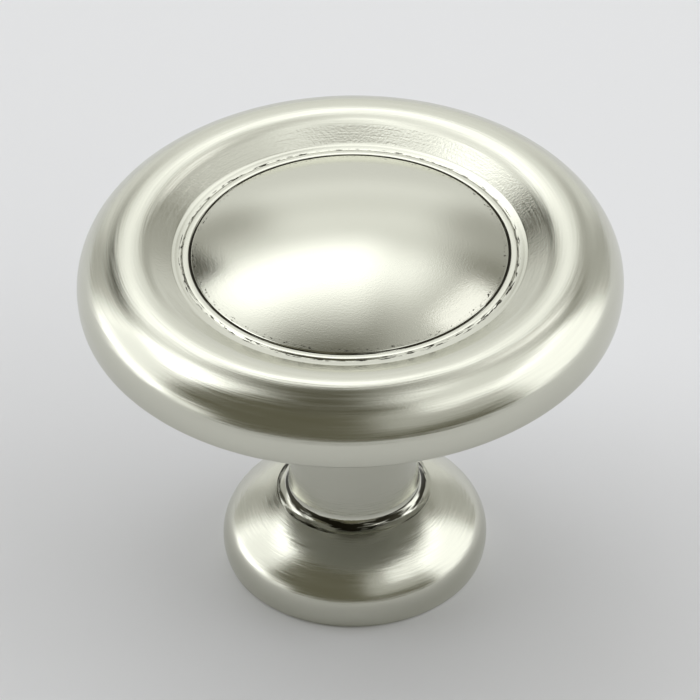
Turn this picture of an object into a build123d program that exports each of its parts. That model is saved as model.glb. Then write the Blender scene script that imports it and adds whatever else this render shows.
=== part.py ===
"""Cabinet knob in one cast piece: a round head with a low dome, a fine bead in a turned groove
and a rolled rim ring, on a slim neck with a bun-shaped foot, tapped from below for its screw.

The section is drawn as (radius, height) in millimetres and turned about Z. The foot stands on
Z = 0 and the face of the head looks along +Z.
"""

import os
from math import asin, cos, degrees, radians, sin, tan

from build123d import *

# Overall sizes
head_diameter = 32.0
overall_height = 23.58
foot_diameter = 15.7
neck_diameter = 7.7

# Face of the head, from the dome outward: a crease, a flat bead, the groove and its lip
dome_diameter = 18.52
dome_height = 1.37
crease_width = 0.16
crease_depth = 0.11
bead_width = 0.22
bead_fall = 0.02
groove_wall_width = 0.26
groove_depth = 0.23
groove_width = 0.46
groove_rise = 0.12
lip_wall_width = 0.06
face_cone_angle = 26.0

# Rim and underside of the head
rim_rise = 0.87
rim_radius = 3.1
rim_drop_angle = 13.0
turn_under_radius = 0.4
underside_angle = 12.0
flare_radius = 4.0

# Foot and the cove between it and the neck
foot_widest_height = 1.1
foot_under_radius = 3.1
foot_bulge_radius = 2.45
foot_bulge_angle = 45.0
base_edge_round = 0.2
shoulder_height = 4.56
neck_cove_radius = 0.85
neck_cove_angle = 80.0

# Underneath: shallow relief and the tapped hole, M4 x 0.7, at its drilled size
relief_diameter = 10.6
relief_depth = 0.4
thread_drill_diameter = 3.3
thread_depth = 14.0
thread_lead_diameter = 4.6
drill_point_angle = 118.0

# Heights and radii that follow from the sizes above
head_radius = head_diameter / 2
neck_radius = neck_diameter / 2
dome_radius = dome_diameter / 2
dome_edge_height = overall_height - dome_height
rim_centre_radius = head_radius - rim_radius
rim_centre_height = dome_edge_height + rim_rise - rim_radius
shoulder_radius = neck_radius + neck_cove_radius * (1 - cos(radians(neck_cove_angle)))
neck_cove_height = shoulder_height + neck_cove_radius * sin(radians(neck_cove_angle))


def heading(angle):
    """The unit direction in the section at this angle, in degrees from straight outward."""
    return Vector(cos(radians(angle)), sin(radians(angle)))


def foot_curves():
    """The foot, from the flat base round its edge, over the bulge and up to the shoulder."""
    under_angle = degrees(asin((foot_widest_height - base_edge_round) / (foot_under_radius - base_edge_round)))
    widest = Vector(foot_diameter / 2, foot_widest_height)
    under = JernArc(widest, heading(-90), foot_under_radius, -under_angle)
    edge = JernArc(under @ 1, under % 1, base_edge_round, under_angle - 90)
    bulge = JernArc(widest, heading(90), foot_bulge_radius, foot_bulge_angle)
    crown = TangentArc(bulge @ 1, (shoulder_radius, shoulder_height), tangent=bulge % 1)
    base = Line((0, 0), edge @ 1)
    return [base, edge, under, bulge, crown]


def neck_curves(underside_start):
    """The cove on the foot, the neck, its flare under the head and the cone out to the rim."""
    flare_angle = 90 - underside_angle
    flare_end_radius = neck_radius + flare_radius * (1 - cos(radians(flare_angle)))
    cone_run = underside_start.X - flare_end_radius
    flare_end_height = underside_start.Y - cone_run * tan(radians(underside_angle))
    flare_start_height = flare_end_height - flare_radius * sin(radians(flare_angle))
    cove = JernArc((neck_radius, neck_cove_height), heading(-90), neck_cove_radius, neck_cove_angle)
    neck = Line(cove @ 0, (neck_radius, flare_start_height))
    flare = JernArc(neck @ 1, heading(90), flare_radius, -flare_angle)
    cone = Line(flare @ 1, underside_start)
    return [cove, neck, flare, cone]


def rim_curves():
    """The rim, rolled from the cone on the face over its crest and turned under at the bottom."""
    centre = Vector(rim_centre_radius, rim_centre_height)
    start = centre + rim_radius * heading(90 + face_cone_angle)
    roll = JernArc(start, heading(face_cone_angle), rim_radius, -(90 + face_cone_angle + rim_drop_angle))
    turn_under = JernArc(roll @ 1, roll % 1, turn_under_radius, -(90 - rim_drop_angle - underside_angle))
    return [roll, turn_under]


def face_curves(rim_start):
    """The dome from the axis outward, its crease and bead, the groove and the cone up to the rim."""
    dome = TangentArc((0, overall_height), (dome_radius, dome_edge_height), tangent=heading(0))
    crease = Vector(dome_radius + crease_width / 2, dome_edge_height - crease_depth)
    bead_start = Vector(dome_radius + crease_width, dome_edge_height)
    bead_end = bead_start + Vector(bead_width, -bead_fall)
    floor_start = Vector(bead_end.X + groove_wall_width, dome_edge_height - groove_depth)
    floor_end = floor_start + Vector(groove_width, groove_rise)
    lip_radius = floor_end.X + lip_wall_width
    lip = Vector(lip_radius, rim_start.Y - (rim_start.X - lip_radius) * tan(radians(face_cone_angle)))
    turned = Polyline(dome @ 1, crease, bead_start, bead_end, floor_start, floor_end, lip, rim_start)
    return [dome, turned]


def turned_body():
    """The whole outside of the knob as one turned section, without its hole."""
    rim = rim_curves()
    axis = Line((0, overall_height), (0, 0))
    curves = foot_curves() + neck_curves(rim[1] @ 1) + rim + face_curves(rim[0] @ 0) + [axis]
    return revolve(Plane.XZ * make_face(curves), Axis.Z)


def base_relief():
    """The shallow relief that leaves a ring of the base to bear on the door."""
    relief_radius = relief_diameter / 2
    relief = Cone(relief_radius, relief_radius - relief_depth, relief_depth)
    return Pos(0, 0, relief_depth / 2) * relief


def tapped_hole():
    """The blind screw hole with its lead-in cone and the cone left by the drill."""
    drill_radius = thread_drill_diameter / 2
    lead_radius = thread_lead_diameter / 2
    lead_end = relief_depth + lead_radius - drill_radius
    point_end = thread_depth + drill_radius / tan(radians(drill_point_angle / 2))
    section = Polyline(
        (0, 0),
        (lead_radius, 0),
        (lead_radius, relief_depth),
        (drill_radius, lead_end),
        (drill_radius, thread_depth),
        (0, point_end),
        close=True,
    )
    return revolve(Plane.XZ * make_face(section), Axis.Z)


knob = turned_body() - base_relief() - tapped_hole()

os.makedirs("parts", exist_ok=True)
export_step(knob, "parts/knob.step")
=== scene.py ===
# %% [markdown]
# # A cabinet knob in satin nickel
# The knob is one zinc casting, turned and brushed, then plated with nickel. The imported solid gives
# the frame: where the knob stands and how big it is. This lesson draws the same section again with
# a finer mesh, so that the reflections run smoothly, cuts the thread that the solid leaves out, and
# then builds the finishes, the studio and the camera.

# %% Frame
from math import asin, atan, atan2, cos, degrees, hypot, pi, radians, sin, tan

import bmesh
import bpy
from mathutils import Matrix, Vector


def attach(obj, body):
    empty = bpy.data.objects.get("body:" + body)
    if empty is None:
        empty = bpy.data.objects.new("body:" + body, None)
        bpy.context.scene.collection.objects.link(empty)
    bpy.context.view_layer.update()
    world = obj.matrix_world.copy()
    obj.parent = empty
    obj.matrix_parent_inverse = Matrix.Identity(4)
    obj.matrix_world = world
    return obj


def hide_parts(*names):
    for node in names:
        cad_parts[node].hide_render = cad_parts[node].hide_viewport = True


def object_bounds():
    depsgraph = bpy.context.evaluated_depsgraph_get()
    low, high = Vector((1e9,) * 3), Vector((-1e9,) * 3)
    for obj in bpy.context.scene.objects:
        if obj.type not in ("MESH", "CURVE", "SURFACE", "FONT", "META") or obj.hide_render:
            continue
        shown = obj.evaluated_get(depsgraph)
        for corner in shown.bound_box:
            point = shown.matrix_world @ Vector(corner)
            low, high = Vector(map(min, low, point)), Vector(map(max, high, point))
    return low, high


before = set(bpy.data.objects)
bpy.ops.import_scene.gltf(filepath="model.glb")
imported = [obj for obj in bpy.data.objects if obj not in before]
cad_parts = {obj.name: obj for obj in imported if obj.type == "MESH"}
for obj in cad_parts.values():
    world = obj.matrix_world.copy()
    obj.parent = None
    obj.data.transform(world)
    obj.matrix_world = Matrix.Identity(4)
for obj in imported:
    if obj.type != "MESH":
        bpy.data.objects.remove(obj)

MM = 0.001
cad_low, cad_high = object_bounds()
print("CAD box, mm:", [round(side / MM, 2) for side in cad_high - cad_low])

# %% [markdown]
# ## Sizes
# A turned part needs only its section. The overall sizes come from the frame's own box, and the
# others are the driving sizes of the solid, in millimetres and degrees, so both models keep one
# outline. Only the outer side of the groove on the face is drawn softer than in the solid.

# %% Sizes of the section
head_radius = min(cad_high.x, cad_high.y, -cad_low.x, -cad_low.y) / MM
overall_height = cad_high.z / MM

# Face of the head, from the dome outward
dome_radius = 18.52 / 2
dome_height = 1.37
crease_width = 0.16
crease_depth = 0.11
bead_width = 0.22
bead_fall = 0.02
groove_wall_width = 0.26
groove_width = 0.46
lip_wall_width = 0.06
face_cone_angle = 26.0

# Rim and underside of the head
rim_rise = 0.87
rim_radius = 3.1
rim_drop_angle = 13.0
turn_under_radius = 0.4
underside_angle = 12.0
flare_radius = 4.0

# Neck, cove and foot
neck_radius = 7.7 / 2
neck_cove_radius = 0.85
neck_cove_angle = 80.0
shoulder_height = 4.56
foot_radius = 15.7 / 2
foot_widest_height = 1.1
foot_under_radius = 3.1
foot_bulge_radius = 2.45
foot_bulge_angle = 45.0
base_edge_round = 0.2

# Base and screw hole
relief_radius = 10.6 / 2
relief_depth = 0.4
drill_radius = 3.3 / 2
thread_lead_radius = 4.6 / 2
thread_depth = 14.0
drill_point_angle = 118.0

dome_edge_height = overall_height - dome_height
rim_centre = Vector((head_radius - rim_radius, dome_edge_height + rim_rise - rim_radius))
print("section: head radius", round(head_radius, 3), "height", round(overall_height, 3))

# %% [markdown]
# ## A pen for the section
# A lathe tool cuts straight runs and arcs that flow into each other. The pen does the same: it
# knows where it is and which way it points, and each stroke starts where the last one ended. An
# arc is one vertex swung round a centre by the spin operator, and a straight run is that vertex
# extruded and moved, so no list of points has to be worked out.

# %% The pen
corner_angle = 3


class Pen:
    """Draws (radius, height) strokes in millimetres as edges in the XZ plane of a bmesh."""

    def __init__(self, bm, place, heading):
        self.bm = bm
        self.place = Vector(place)
        self.heading = heading
        self.tip = bm.verts.new((self.place.x * MM, 0, self.place.y * MM))
        self.corners = []

    def point(self, heading):
        """Turns on the spot, and notes the corner that a turn by more than corner_angle leaves."""
        if abs(heading - self.heading) > corner_angle:
            self.corners.append(self.tip)
        self.heading = heading

    def line_to(self, place, steps=1):
        """Draws a straight stroke to a place in this many equal steps."""
        run = Vector(place) - self.place
        self.point(degrees(atan2(run.y, run.x)))
        step = (run.x / steps * MM, 0, run.y / steps * MM)
        for _ in range(steps):
            self.tip = bmesh.ops.extrude_vert_indiv(self.bm, verts=[self.tip])["verts"][0]
            bmesh.ops.translate(self.bm, verts=[self.tip], vec=step)
        self.place = Vector(place)

    def arc(self, radius, turn, steps):
        """Draws an arc that leaves along the heading and turns left by this angle, or right below 0."""
        to_centre = radians(self.heading + (90 if turn > 0 else -90))
        centre = self.place + radius * Vector((cos(to_centre), sin(to_centre)))
        made = bmesh.ops.spin(
            self.bm, geom=[self.tip], cent=(centre.x * MM, 0, centre.y * MM), axis=(0, -1, 0),
            angle=radians(turn), steps=steps)
        self.tip = next(item for item in made["geom_last"] if isinstance(item, bmesh.types.BMVert))
        self.place = Vector((self.tip.co.x / MM, self.tip.co.z / MM))
        self.heading += turn


# %% [markdown]
# ## Turning the knob
# The section is drawn zone by zone, from the top of the dome outward, down the neck and foot, and
# back up the screw hole. Each zone is spun about Z at once, because its faces then take the finish
# of that zone. The zones share their end circles, which are welded when all of them are there.
# No tool leaves a perfectly sharp corner, so the section's corners are bevelled before the spin.

# %% Zones of the section
AROUND = 192
SATIN_DOME, GROOVE, SLOPE, SATIN_TURNED, NECK, COVE, CAST = range(7)
corner_softness = 0.045
knob_bm = bmesh.new()


def make_mesh(name, bm):
    """Turns a finished bmesh into a mesh."""
    mesh = bpy.data.meshes.new(name)
    bm.to_mesh(mesh)
    bm.free()
    return mesh


def turn_zone(name, finish, place, heading, strokes):
    """Draws one zone of the section, spins it, adds it to the knob and returns the pen at its end."""
    bm = bmesh.new()
    pen = Pen(bm, place, heading)
    strokes(pen)
    if pen.corners:
        bmesh.ops.bevel(
            bm, geom=pen.corners, offset=corner_softness * MM, offset_type="OFFSET", segments=3,
            profile=0.5, affect="VERTICES", material=-1)
    bmesh.ops.spin(
        bm, geom=[*bm.verts, *bm.edges], axis=(0, 0, 1), angle=2 * pi, steps=AROUND, use_merge=True)
    for face in bm.faces:
        face.material_index = finish
    print(f"{name}: {len(bm.faces)} faces, ends at", [round(number, 3) for number in pen.place])
    zone = make_mesh(name, bm)
    knob_bm.from_mesh(zone)
    bpy.data.meshes.remove(zone)
    return pen


# %% [markdown]
# ## The face of the head
# A low dome ends in a fine crease, then come a flat bead, a groove and a cone that runs up into the
# rolled rim. Insets in a smooth head could cut these lines, but as strokes of the section each gets
# its own width and depth. The groove's zone also takes a narrow band of the dome and of the cone,
# so that the corners on both sides lie inside it and are bevelled with it.

# %% Lines of the face
edge_band = 0.05
dome_slope = 2 * degrees(atan(dome_height / dome_radius))
dome_sphere_radius = dome_radius / sin(radians(dome_slope))
dome_edge_turn = degrees(edge_band / dome_sphere_radius)
up_cone = Vector((cos(radians(face_cone_angle)), sin(radians(face_cone_angle))))
rim_start = rim_centre + rim_radius * Vector((-up_cone.y, up_cone.x))

bead_end = dome_radius + crease_width + bead_width + groove_wall_width / 2
lip_radius = (
    dome_radius + crease_width + bead_width + groove_wall_width + groove_width + lip_wall_width)
lip_height = rim_start.y - (rim_start.x - lip_radius) * tan(radians(face_cone_angle))
# The groove falls steeply from the bead to below the lip, then rises in two easy runs to the lip.
groove_fall_width, groove_below_lip = 0.10, 0.11
lip_run, lip_run_rise = 0.20, 0.03
print("groove: from radius", round(bead_end, 3), "to", round(lip_radius, 3))


# %% Turn the face
def draw_dome(pen):
    """The dome, from the axis to just short of its edge."""
    pen.arc(dome_sphere_radius, dome_edge_turn - dome_slope, steps=24)


def draw_groove(pen):
    """The dome's edge, the crease, the bead, the groove, its lip and the start of the cone."""
    pen.arc(dome_sphere_radius, -dome_edge_turn, steps=1)
    pen.line_to((dome_radius + crease_width / 2, dome_edge_height - crease_depth))
    pen.line_to((dome_radius + crease_width, dome_edge_height - bead_fall))
    pen.line_to((bead_end, dome_edge_height - bead_fall))
    pen.line_to((bead_end + groove_fall_width, lip_height - groove_below_lip))
    pen.line_to((lip_radius - lip_run, lip_height - lip_run_rise))
    pen.line_to((lip_radius, lip_height))
    pen.line_to(pen.place + edge_band * up_cone)


def draw_slope(pen):
    """The cone, up to where the rim begins to roll."""
    pen.line_to(rim_start, steps=6)


def draw_rim(pen):
    """The rolled rim and its turn under the head."""
    pen.arc(rim_radius, -(90 + face_cone_angle + rim_drop_angle), steps=44)
    pen.arc(turn_under_radius, -(90 - rim_drop_angle - underside_angle), steps=8)


pen = turn_zone("dome", SATIN_DOME, (0, overall_height), 0, draw_dome)
pen = turn_zone("groove", GROOVE, pen.place, pen.heading, draw_groove)
pen = turn_zone("slope", SLOPE, pen.place, pen.heading, draw_slope)
pen = turn_zone("rim", SATIN_TURNED, pen.place, pen.heading, draw_rim)

# %% [markdown]
# ## Neck and foot
# Under the head a flat cone flares into the slim neck, and a tight cove leads from the neck to a
# foot like a bun. A loft through circles would need many of them to keep such curves even. Arcs
# that each start in the direction where the last one ended keep them even by themselves.

# %% Lines of the neck and foot
flare_angle = 90 - underside_angle
flare_end_radius = neck_radius + flare_radius * (1 - cos(radians(flare_angle)))
neck_cove_height = shoulder_height + neck_cove_radius * sin(radians(neck_cove_angle))
shoulder_radius = neck_radius + neck_cove_radius * (1 - cos(radians(neck_cove_angle)))
under_angle = degrees(
    asin((foot_widest_height - base_edge_round) / (foot_under_radius - base_edge_round)))

# The crown runs from the shoulder into the bulge, so its turn follows from the slope of its chord.
crown = Vector((
    foot_radius - foot_bulge_radius * (1 - cos(radians(foot_bulge_angle))) - shoulder_radius,
    foot_widest_height + foot_bulge_radius * sin(radians(foot_bulge_angle)) - shoulder_height))
crown_turn = 2 * (foot_bulge_angle - 90 - degrees(atan2(crown.y, crown.x)))
crown_radius = crown.length / 2 / sin(radians(abs(crown_turn) / 2))
crown_edge_turn = degrees(edge_band / crown_radius)
print("foot's crown: radius", round(crown_radius, 2), "turn", round(crown_turn, 1))


# %% Turn the neck and foot
def draw_neck(pen):
    """The flat cone under the head, its flare and the straight neck."""
    cone_fall = (pen.place.x - flare_end_radius) * tan(radians(underside_angle))
    pen.line_to((flare_end_radius, pen.place.y - cone_fall), steps=12)
    pen.arc(flare_radius, flare_angle, steps=20)
    pen.line_to((neck_radius, neck_cove_height), steps=10)


def draw_cove(pen):
    """The cove, its corner with the foot and the start of the crown."""
    pen.arc(neck_cove_radius, neck_cove_angle, steps=16)
    pen.point(foot_bulge_angle - 90 - crown_turn)
    pen.arc(crown_radius, -crown_edge_turn, steps=1)


def draw_foot(pen):
    """The crown, the bulge, the undercut and the rounded edge of the base."""
    pen.arc(crown_radius, crown_turn + crown_edge_turn, steps=14)
    pen.arc(foot_bulge_radius, -foot_bulge_angle, steps=20)
    pen.arc(foot_under_radius, -under_angle, steps=8)
    pen.arc(base_edge_round, under_angle - 90, steps=6)


pen = turn_zone("neck", NECK, pen.place, pen.heading, draw_neck)
pen = turn_zone("cove", COVE, pen.place, pen.heading, draw_cove)
pen = turn_zone("foot", SATIN_TURNED, pen.place, pen.heading, draw_foot)

# %% [markdown]
# ## Base and screw hole
# The knob bears on a ring, because its base is relieved inside it, and its screw goes into a blind
# drilled hole with a lead-in cone. Booleans could cut both, but in a turned piece they are just the
# rest of the section. The wall of the hole gets several rows for each turn of the thread.

# %% Turn the base and the hole
THREAD_PITCH = 0.7
ROWS_PER_PITCH = 8
weld_distance = 0.002
wall_start = relief_depth + thread_lead_radius - drill_radius
wall_rows = round((thread_depth - wall_start) / THREAD_PITCH * ROWS_PER_PITCH)


def draw_base(pen):
    """The bearing ring, the relief, the lead-in cone, the drilled wall and the drill's point."""
    pen.line_to((relief_radius, 0))
    pen.line_to((relief_radius - relief_depth, relief_depth))
    pen.line_to((thread_lead_radius, relief_depth), steps=2)
    pen.line_to((drill_radius, wall_start))
    pen.line_to((drill_radius, thread_depth), steps=wall_rows)
    pen.line_to((0, thread_depth + drill_radius / tan(radians(drill_point_angle / 2))))


turn_zone("base and hole", CAST, pen.place, pen.heading, draw_base)
bmesh.ops.remove_doubles(knob_bm, verts=knob_bm.verts, dist=weld_distance * MM)
bmesh.ops.recalc_face_normals(knob_bm, faces=knob_bm.faces)
open_edges = sum(not edge.is_manifold for edge in knob_bm.edges)
print("welded:", len(knob_bm.verts), "vertices; open edges:", open_edges)

# %% [markdown]
# ## The thread
# The hole is tapped M4: a 60 degree groove that climbs 0.7 mm each turn. It could be cut with a
# boolean, but the hole's wall already has rows of vertices finer than the pitch, so each vertex is
# pushed outward by the groove's depth where the helix passes it. The groove fades out towards the
# bottom of the hole, as a tap leaves it, and starts in the lead-in cone.

# %% Cut the thread
thread_groove_depth = 0.35
thread_fade = 1.5
crest_edge, flank_width = 0.82, 0.62
wall_tolerance, row_tolerance = 0.005, 0.001


def groove_share(turns):
    """How much of the groove is cut at this many turns along the helix: flat crest, flanks, root."""
    across = abs((turns % 1) - 0.5) * 2
    return min(max((crest_edge - across) / flank_width, 0), 1)


def on_wall(vert):
    """Whether a vertex lies on the drilled wall, its last row left out."""
    off_wall = abs(hypot(vert.co.x, vert.co.y) / MM - drill_radius)
    in_rows = wall_start - row_tolerance < vert.co.z / MM < thread_depth - row_tolerance
    return in_rows and off_wall < wall_tolerance


wall = [vert for vert in knob_bm.verts if on_wall(vert)]
for vert in wall:
    height = vert.co.z / MM
    turns = height / THREAD_PITCH - atan2(vert.co.y, vert.co.x) / (2 * pi)
    fade = min(1, (height - wall_start) / (THREAD_PITCH / 2), (thread_depth - height) / thread_fade)
    reach = 1 + thread_groove_depth * groove_share(turns) * fade / drill_radius
    vert.co.x *= reach
    vert.co.y *= reach
print("thread vertices moved:", len(wall))

# %% [markdown]
# ## One mesh for one piece
# The knob is a single piece of metal, so all zones stay in one mesh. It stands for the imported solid
# and rides on its body. Smooth shading runs over the fine facets and stops at the real corners.

# %% Finish the mesh
sharp_angle = 30
knob_mesh = make_mesh("cabinet_knob", knob_bm)
knob_mesh.shade_smooth()
knob_mesh.set_sharp_from_angle(angle=radians(sharp_angle))
knob = bpy.data.objects.new("cabinet_knob", knob_mesh)
bpy.context.scene.collection.objects.link(knob)
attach(knob, "root")
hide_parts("knob")
print("triangles:", sum(len(face.vertices) - 2 for face in knob_mesh.polygons))

# %% [markdown]
# ## Finishes
# Nickel plate is a warm, slightly greenish grey metal. The knob is brushed on a lathe before it is
# plated, so fine scratches run round it: they blur a reflection across their run much more than
# along it. The crease, the groove and the cove on the neck stay bright, with dark specks painted in
# them as painted shade, and under the head the neck is rougher and painted darker, a painted shade.
# An image could hold such marks, but noise that follows the turning fits every radius of the knob.

# %% Colours and nodes
nickel_colour = "#CECEC2"
# The dark colour that is painted as shade into the hollows of the face, the cove and under the head.
painted_shade_colour = "#302E25"


def linear(hex_colour):
    """The linear RGBA of an sRGB hex colour."""
    parts = [int(hex_colour[i:i + 2], 16) / 255 for i in (1, 3, 5)]
    return [p / 12.92 if p <= 0.04045 else ((p + 0.055) / 1.055) ** 2.4 for p in parts] + [1.0]


def add_node(tree, kind, settings=None, inputs=None):
    """Adds a node, sets its properties, and fills or links its inputs by name or number."""
    node = tree.nodes.new(kind)
    for name, value in (settings or {}).items():
        setattr(node, name, value)
    for name, value in (inputs or {}).items():
        socket = node.inputs[name]
        if isinstance(value, bpy.types.NodeSocket):
            tree.links.new(value, socket)
        else:
            socket.default_value = value
    return node


print("nickel, linear:", [round(part, 3) for part in linear(nickel_colour)[:3]])

# %% [markdown]
# ## Brush marks
# A brush mark is a scratch that runs round the axis. Noise stretched along X or Y would only follow
# it on one side of the knob. Here the noise is read at the outward direction, which changes slowly
# round the knob, and at the distance from the axis and the height, which change fast across it.
# Real scratches are some hundredths of a millimetre wide. They are drawn two to three times as
# wide, so that they show in the picture.

# %% Marks on a turned surface
mark_circle = 10.0
mark_roughness = 0.6


def turned_places(tree):
    """The sockets that say where on a turned surface a point is."""
    place = add_node(tree, "ShaderNodeTexCoord").outputs["Object"]
    height = add_node(tree, "ShaderNodeSeparateXYZ", None, {0: place}).outputs["Z"]
    flat = add_node(
        tree, "ShaderNodeVectorMath", {"operation": "MULTIPLY"}, {0: place, 1: (1, 1, 0)}).outputs[0]
    distance = add_node(tree, "ShaderNodeVectorMath", {"operation": "LENGTH"}, {0: flat}).outputs["Value"]
    outward = add_node(tree, "ShaderNodeVectorMath", {"operation": "NORMALIZE"}, {0: flat}).outputs[0]
    around = add_node(
        tree, "ShaderNodeVectorMath", {"operation": "CROSS_PRODUCT"},
        {0: (0, 0, 1), 1: outward}).outputs[0]
    return {"place": place, "height": height, "distance": distance, "outward": outward, "around": around}


def brush_marks(tree, spot, width, length, detail):
    """Noise with one value along each mark, of this length on a circle of mark_circle in radius."""
    across = 1 / (width * MM)
    way = add_node(
        tree, "ShaderNodeVectorMath", {"operation": "SCALE"},
        {0: spot["outward"], "Scale": mark_circle / length}).outputs[0]
    reach = add_node(
        tree, "ShaderNodeMath", {"operation": "MULTIPLY"}, {0: spot["distance"], 1: across}).outputs[0]
    height = add_node(
        tree, "ShaderNodeMath", {"operation": "MULTIPLY"}, {0: spot["height"], 1: across}).outputs[0]
    ring = add_node(tree, "ShaderNodeCombineXYZ", None, {2: reach}).outputs[0]
    where = add_node(tree, "ShaderNodeVectorMath", {"operation": "ADD"}, {0: way, 1: ring}).outputs[0]
    return add_node(
        tree, "ShaderNodeTexNoise", {"noise_dimensions": "4D"},
        {"Vector": where, "W": height, "Scale": 1.0, "Detail": detail,
         "Roughness": mark_roughness}).outputs["Fac"]


# %% [markdown]
# ## Painted shade in the hollows and under the head
# The crease, the groove, the edge of the dome and the cove get dark specks of painted shade. Such a
# speck is a short brush mark on a narrow ring, and only the highest values of the noise become specks.
# Under the head the neck is painted darker with the height, a painted shade.

# %% Painted shade: dark specks and a darker neck
speck_detail = 3.0
speck_start, speck_full, cover_gain = 0.64, 0.72, 0.3


def shade_speck_ring(tree, spot, radius, half_width, speck_width, speck_length, cover):
    """The painted shade on one ring, drawn as dark specks that cover it from 0, hardly, to 1, almost all
    over.
    """
    on_ring = add_node(
        tree, "ShaderNodeMath", {"operation": "COMPARE"},
        {0: spot["distance"], 1: radius * MM, 2: half_width * MM}).outputs[0]
    marks = brush_marks(tree, spot, speck_width, speck_length, speck_detail)
    specks = add_node(
        tree, "ShaderNodeMapRange", None,
        {"Value": marks, "From Min": speck_start - cover_gain * cover,
         "From Max": speck_full - cover_gain * cover}).outputs["Result"]
    return add_node(tree, "ShaderNodeMath", {"operation": "MULTIPLY"}, {0: on_ring, 1: specks}).outputs[0]


def painted_shade_with_height(tree, spot, low, high, share):
    """The painted shade that grows with the height, from none at the low end to this share."""
    return add_node(
        tree, "ShaderNodeMapRange", {"interpolation_type": "SMOOTHSTEP"},
        {"Value": spot["height"], "From Min": low * MM, "From Max": high * MM,
         "To Max": share}).outputs["Result"]


# %% [markdown]
# ## Nickel plate
# One recipe gives all finishes of the knob: a metal whose roughness follows the brush marks, with
# two bumps, one for the grain under the plate and one for the marks. Its tangent runs round the
# axis, so that the shader stretches a highlight across the marks, as on brushed metal.

# %% Nickel plate
noise_low, noise_high = 0.3, 0.7
plate_detail = 2.0
painted_shade_roughness = 0.25
MIX_COLOUR_A, MIX_COLOUR_B, MIX_COLOUR_RESULT = 6, 7, 2


def nickel(name, roughness, roughness_spread, anisotropy, scratch, grain, shade_specks=(), dull=None):
    """A nickel plate material, all sizes in millimetres.

    scratch: (width, length, depth) of the brush marks, which run round the Z axis.
    grain: (size, depth) of the fine unevenness under the plate.
    shade_specks: (radius, half width, speck width, speck length, cover) of each ring of dark specks of
    painted shade.
    dull: (from height, to height, share) of a part that is rougher and painted darker with the height, a
    painted shade.
    """
    material = bpy.data.materials.new(name)
    material.use_nodes = True
    tree = material.node_tree
    shader = tree.nodes["Principled BSDF"]
    shader.inputs["Base Color"].default_value = linear(nickel_colour)
    shader.inputs["Metallic"].default_value = 1.0
    shader.inputs["Anisotropic"].default_value = anisotropy
    spot = turned_places(tree)
    tree.links.new(spot["around"], shader.inputs["Tangent"])

    scratch_width, scratch_length, scratch_depth = scratch
    grain_size, grain_depth = grain
    scratches = brush_marks(tree, spot, scratch_width, scratch_length, plate_detail)
    peel = add_node(
        tree, "ShaderNodeTexNoise", None,
        {"Vector": spot["place"], "Scale": 1 / (grain_size * MM), "Detail": plate_detail}).outputs["Fac"]
    normal = add_node(
        tree, "ShaderNodeBump", None,
        {"Strength": 1.0, "Distance": grain_depth * MM, "Height": peel}).outputs["Normal"]
    normal = add_node(
        tree, "ShaderNodeBump", None,
        {"Strength": 1.0, "Distance": scratch_depth * MM, "Height": scratches,
         "Normal": normal}).outputs["Normal"]
    tree.links.new(normal, shader.inputs["Normal"])
    rough = add_node(
        tree, "ShaderNodeMapRange", None,
        {"Value": scratches, "From Min": noise_low, "From Max": noise_high,
         "To Min": roughness - roughness_spread, "To Max": roughness + roughness_spread}).outputs["Result"]

    # The specks and the darker neck are painted shade: the dark colour is mixed into the nickel there, which
    # is also rougher.
    covers = [painted_shade_with_height(tree, spot, *dull)] if dull else []
    covers += [shade_speck_ring(tree, spot, *ring) for ring in shade_specks]
    if covers:
        painted_shade = covers[0]
        for cover in covers[1:]:
            painted_shade = add_node(tree, "ShaderNodeMath", {"operation": "MAXIMUM"}, {0: painted_shade, 1: cover}).outputs[0]
        shade = add_node(
            tree, "ShaderNodeMix", {"data_type": "RGBA"},
            {"Factor": painted_shade, MIX_COLOUR_A: linear(nickel_colour), MIX_COLOUR_B: linear(painted_shade_colour)})
        tree.links.new(shade.outputs[MIX_COLOUR_RESULT], shader.inputs["Base Color"])
        rough = add_node(
            tree, "ShaderNodeMath", {"operation": "MULTIPLY_ADD"},
            {0: painted_shade, 1: painted_shade_roughness, 2: rough}).outputs[0]
    tree.links.new(rough, shader.inputs["Roughness"])
    return material


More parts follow.
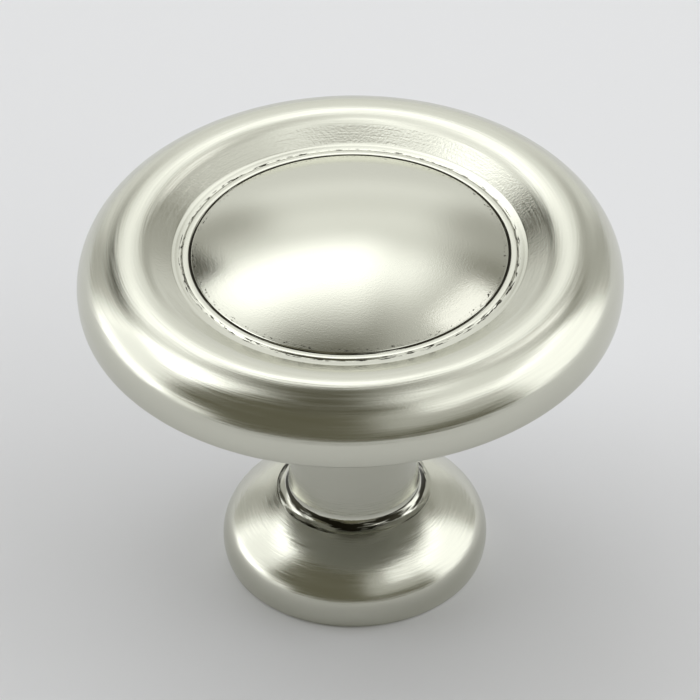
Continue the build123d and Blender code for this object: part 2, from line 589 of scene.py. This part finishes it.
# %% The knob's finishes, one for each zone
crease_ring = dome_radius + crease_width / 2
groove_ring = bead_end + groove_fall_width
cove_ring_offset = 0.41
finishes = [
    # The dome is buffed almost bright: clear reflections with soft edges, and a few dark specks of painted
    # shade at its edge.
    nickel("satin nickel plate, lightly buffed", roughness=0.14, roughness_spread=0.02, anisotropy=0.2,
           scratch=(0.08, 1.2, 0.0012), grain=(0.10, 0.0026),
           shade_specks=[(dome_radius, 0.28, 0.1, 0.2, 0.24)]),
    # No brush reaches the groove: a bright line beside a crease painted dark and almost unbroken, a painted
    # shade.
    nickel("bright nickel plate with painted shade in the groove", roughness=0.14, roughness_spread=0.02,
           anisotropy=0.0, scratch=(0.08, 2.0, 0.0010), grain=(0.10, 0.0015),
           shade_specks=[(crease_ring, crease_width / 2, 0.12, 4.0, 0.95), (groove_ring, 0.12, 0.1, 0.6, 0.4)]),
    # The cone was brushed hard: a satin slope with a grain that sparkles where the light ends.
    nickel("satin nickel plate, brushed coarsely", roughness=0.22, roughness_spread=0.05, anisotropy=0.3,
           scratch=(0.09, 2.0, 0.0070), grain=(0.14, 0.0110)),
    # Rim and foot show the even satin of the lathe: broad soft highlights with fine lines round them.
    nickel("satin nickel plate, brushed round", roughness=0.21, roughness_spread=0.06, anisotropy=0.4,
           scratch=(0.10, 3.0, 0.0060), grain=(0.14, 0.0022)),
    # The neck has the same satin, and it is rougher and painted darker where it flares out under the head:
    # painted shade.
    nickel("satin nickel plate, not buffed under the head", roughness=0.21, roughness_spread=0.06,
           anisotropy=0.4, scratch=(0.10, 3.0, 0.0060), grain=(0.14, 0.0022), dull=(10.0, 14.0, 0.55)),
    # The cove mirrors sharply between dark patches of painted shade, which draw a broken ring round the
    # neck.
    nickel("bright nickel plate with painted shade in the cove", roughness=0.12, roughness_spread=0.02,
           anisotropy=0.0, scratch=(0.08, 2.0, 0.0010), grain=(0.10, 0.0020),
           shade_specks=[(neck_radius + cove_ring_offset, 0.35, 0.4, 8.0, 0.66)]),
    # The base and the hole were never brushed: a dull grey that mirrors nothing.
    nickel("dull nickel plate on the bare casting", roughness=0.36, roughness_spread=0.05, anisotropy=0.0,
           scratch=(0.15, 2.0, 0.0020), grain=(0.30, 0.0050)),
]
for material in finishes:
    knob_mesh.materials.append(material)
print("finishes:", [material.name for material in finishes])

# %% [markdown]
# ## The studio
# Polished metal is drawn by what it mirrors, so the light comes from a tent of cloth all round the
# knob. Lamps shine on the tent from outside and leave soft-edged panels of light on it, and the
# cloth behind the camera stays dark. Lamps alone could not do this: their hard shapes would show in
# the metal. The tent is half a sphere, and each of its vertices stores how much light it passes.

# %% Panels of light on the tent
# name: (sideways from, to), (upward from, to), softness of the edges, light; all angles in degrees,
# sideways 0 is behind the knob and 90 to its right.
panels = {
    "left panel": ((-102, -56), (-20, 66), 13, 1.3),
    "low left panel": ((-124, -64), (-20, 10), 12, 1.3),
    "left roof panel": ((-98, 6), (42, 80), 9, 1.1),
    "middle roof panel": ((-32, 20), (36, 57), 14, 0.88),
    "back panel": ((-12, 14), (20, 36), 8, 0.5),
    "low back panel": ((-32, 30), (-20, 22), 8, 0.4),
    "back wall": ((-66, 64), (-20, 38), 10, 0.4),
    "right panel": ((60, 112), (-20, 46), 12, 1.5),
    "right roof panel": ((6, 60), (44, 80), 10, 0.62),
    "far right roof panel": ((60, 146), (40, 80), 11, 0.9),
    "front right panel": ((112, 170), (16, 58), 18, 0.45),
    "top panel": ((-180, 180), (74, 110), 8, 0.9),
}


def soft_step(inside, softness):
    """Rises smoothly from 0 outside an edge to 1 inside it."""
    share = min(max(inside / softness + 0.5, 0), 1)
    return share * share * (3 - 2 * share)


def panel_light(panel, turn, lift):
    """The light of one panel that passes the tent in this direction."""
    (left, right), (low, high), softness, light = panel
    off_middle = abs((turn - (left + right) / 2 + 180) % 360 - 180)
    all_round = right - left >= 360
    share = 1 if all_round else soft_step((right - left) / 2 - off_middle, softness)
    return light * (share * soft_step(lift - low, softness) * soft_step(high - lift, softness))


print("panels:", ", ".join(panels))

# %% The light tent
# In metres; the hem hangs to just under the floor.
tent_radius = 0.9
tent_hem = -0.01
tent_colour, tent_level = "#FFFAD6", 0.15
lamp_colour = "#FAFCFF"


def empty_material(name):
    """A material without nodes."""
    material = bpy.data.materials.new(name)
    material.use_nodes = True
    material.node_tree.nodes.clear()
    return material


def stand(name, mesh):
    """Puts a mesh of the studio in the scene, hidden from the camera only."""
    made = bpy.data.objects.new(name, mesh)
    bpy.context.scene.collection.objects.link(made)
    made.visible_camera = False
    return made


tent_bm = bmesh.new()
bmesh.ops.create_uvsphere(tent_bm, u_segments=144, v_segments=72, radius=tent_radius)
bmesh.ops.bisect_plane(
    tent_bm, geom=[*tent_bm.verts, *tent_bm.edges, *tent_bm.faces], plane_co=(0, 0, tent_hem),
    plane_no=(0, 0, 1), clear_inner=True)
tent_mesh = make_mesh("light_tent", tent_bm)
glow = tent_mesh.attributes.new("glow", "FLOAT", "POINT")
for vert, spot in zip(tent_mesh.vertices, glow.data):
    turn = degrees(atan2(vert.co.x, vert.co.y))
    lift = degrees(asin(max(-1, min(1, vert.co.z / tent_radius))))
    spot.value = sum(panel_light(panel, turn, lift) for panel in panels.values())

# White cloth is lit evenly by the room and glows where the lamps shine through it.
cloth = empty_material("white tent cloth, lit from outside")
tree = cloth.node_tree
passed = add_node(tree, "ShaderNodeAttribute", {"attribute_name": "glow"}).outputs["Fac"]
lamps = add_node(tree, "ShaderNodeEmission", None, {"Color": linear(lamp_colour), "Strength": passed})
room = add_node(tree, "ShaderNodeEmission", None, {"Color": linear(tent_colour), "Strength": tent_level})
both = add_node(tree, "ShaderNodeAddShader", None, {0: lamps.outputs[0], 1: room.outputs[0]})
add_node(tree, "ShaderNodeOutputMaterial", None, {"Surface": both.outputs[0]})
tent_mesh.materials.append(cloth)
stand("light_tent", tent_mesh)
print("tent vertices:", len(tent_mesh.vertices))

# %% [markdown]
# ## Window, stand and flag
# Two flat cards stand just inside the tent, because cloth cannot give a sharp edge. A window of
# light gives the clear patch on the right of the dome, and a dark stand gives the grey patch at its
# left edge. A dark flag hangs close above the front of the head. It keeps the roof out of the front
# of the dome and of the rim, while the far slope of the ring looks past it at the bright roof.

# %% Window and dark stand
# In millimetres, just inside the tent
card_distance = 850


def towards(turn, lift):
    """The place of a card's corner in a direction, sideways and upward in degrees."""
    turn, lift = radians(turn), radians(lift)
    return card_distance * Vector((sin(turn) * cos(lift), cos(turn) * cos(lift), sin(lift)))


def stand_card(name, sideways, upward, colour, glow):
    """Stands a flat card of even light, which covers these directions."""
    (left, right), (low, high) = sideways, upward
    corners = towards(left, low), towards(right, low), towards(right, high), towards(left, high)
    bm = bmesh.new()
    bm.faces.new([bm.verts.new(corner * MM) for corner in corners])
    mesh = make_mesh(name, bm)
    material = empty_material(name)
    tree = material.node_tree
    light = add_node(tree, "ShaderNodeEmission", None, {"Color": linear(colour), "Strength": glow})
    add_node(tree, "ShaderNodeOutputMaterial", None, {"Surface": light.outputs[0]})
    mesh.materials.append(material)
    return stand(name, mesh)


cards = [
    stand_card("window", (27, 42), (45, 61), "#FFFFFF", 1.6),
    stand_card("dark_stand", (-46, -24), (28, 41), tent_colour, 0.06),
]
print("cards:", [card.name for card in cards])

# %% Dark flag
# In millimetres; the edge is the width over which the net opens.
flag_left, flag_right, flag_front, flag_back, flag_height = -25, 15, -44, 15.5, 55
flag_edge = 16
flag_level = 0.12
flag_width, flag_depth = flag_right - flag_left, flag_back - flag_front
flag_bm = bmesh.new()
bmesh.ops.create_grid(flag_bm, x_segments=24, y_segments=24, size=0.5)
bmesh.ops.scale(flag_bm, verts=flag_bm.verts, vec=(flag_width * MM, flag_depth * MM, 1))
bmesh.ops.translate(
    flag_bm, verts=flag_bm.verts,
    vec=((flag_left + flag_right) / 2 * MM, (flag_front + flag_back) / 2 * MM, flag_height * MM))
flag_mesh = make_mesh("flag", flag_bm)
cover = flag_mesh.attributes.new("cover", "FLOAT", "POINT")
for vert, spot in zip(flag_mesh.vertices, cover.data):
    x, y = vert.co.x / MM, vert.co.y / MM
    inside_x, inside_y = min(x - flag_left, flag_right - x), min(y - flag_front, flag_back - y)
    spot.value = (
        soft_step(inside_x - flag_edge / 2, flag_edge) * soft_step(inside_y - flag_edge / 2, flag_edge))

# A net that opens towards its edges, so that the flag has no outline in the metal.
net = empty_material("dark net, open at its edges")
tree = net.node_tree
share = add_node(tree, "ShaderNodeAttribute", {"attribute_name": "cover"}).outputs["Fac"]
hole = add_node(tree, "ShaderNodeBsdfTransparent").outputs[0]
dark = add_node(
    tree, "ShaderNodeEmission", None, {"Color": linear(tent_colour), "Strength": flag_level}).outputs[0]
both = add_node(tree, "ShaderNodeMixShader", None, {0: share, 1: hole, 2: dark})
add_node(tree, "ShaderNodeOutputMaterial", None, {"Surface": both.outputs[0]})
flag_mesh.materials.append(net)
stand("flag", flag_mesh)
print("flag, mm:", flag_width, "x", flag_depth)

# %% [markdown]
# ## Floor and world
# The knob stands on matt white paper, which keeps its shadow. A paper sweep would give the same
# picture, but a flat floor is enough when the camera looks down. The white world lights the paper
# outside the tent.

# %% Floor and world
floor_reach = 3.0
floor_bm = bmesh.new()
bmesh.ops.create_grid(floor_bm, x_segments=1, y_segments=1, size=floor_reach)
floor_mesh = make_mesh("floor", floor_bm)
floor = bpy.data.objects.new("floor", floor_mesh)
bpy.context.scene.collection.objects.link(floor)

# Uncoated paper scatters light evenly and mirrors nothing.
paper = bpy.data.materials.new("matt white paper")
paper.use_nodes = True
paper_shader = paper.node_tree.nodes["Principled BSDF"]
paper_shader.inputs["Base Color"].default_value = linear("#E6E6E9")
paper_shader.inputs["Roughness"].default_value = 0.9
floor_mesh.materials.append(paper)

world = bpy.data.worlds.new("white room")
world.use_nodes = True
background = world.node_tree.nodes["Background"]
background.inputs["Color"].default_value = linear("#FFFFFF")
background.inputs["Strength"].default_value = 0.9
bpy.context.scene.world = world
bpy.context.scene.view_settings.view_transform = "Standard"
print("floor, m:", 2 * floor_reach, "wide")

# %% [markdown]
# ## The camera
# The picture looks down on the face at about 39 degrees from roughly half a metre with a long lens,
# and its frame is turned about one degree. The lens follows from how many pixels one millimetre of
# the knob takes in a frame 700 pixels wide.

# %% Camera
camera_distance = 0.5556
camera_elevation = radians(39.057)
camera_roll = radians(1.079)
pixels_per_mm = 17.006
picture_width = 700
aim = Vector((-0.088, 0, 14.926)) * MM

lens = bpy.data.cameras.new("long lens")
lens.sensor_width = 36
lens.lens = pixels_per_mm / MM * camera_distance / picture_width * lens.sensor_width
lens.clip_start, lens.clip_end = 0.01, 10
camera = bpy.data.objects.new("camera", lens)
away = Vector((0, -cos(camera_elevation), sin(camera_elevation))) * camera_distance
camera.location = away + Vector((0, 0, aim.z))
look = (aim - camera.location).to_track_quat("-Z", "Y").to_matrix()
rolled = look @ Matrix.Rotation(-camera_roll, 3, "Z")
camera.matrix_world = Matrix.Translation(camera.location) @ rolled.to_4x4()
bpy.context.scene.collection.objects.link(camera)
bpy.context.scene.camera = camera
print("lens, mm:", round(lens.lens, 1))
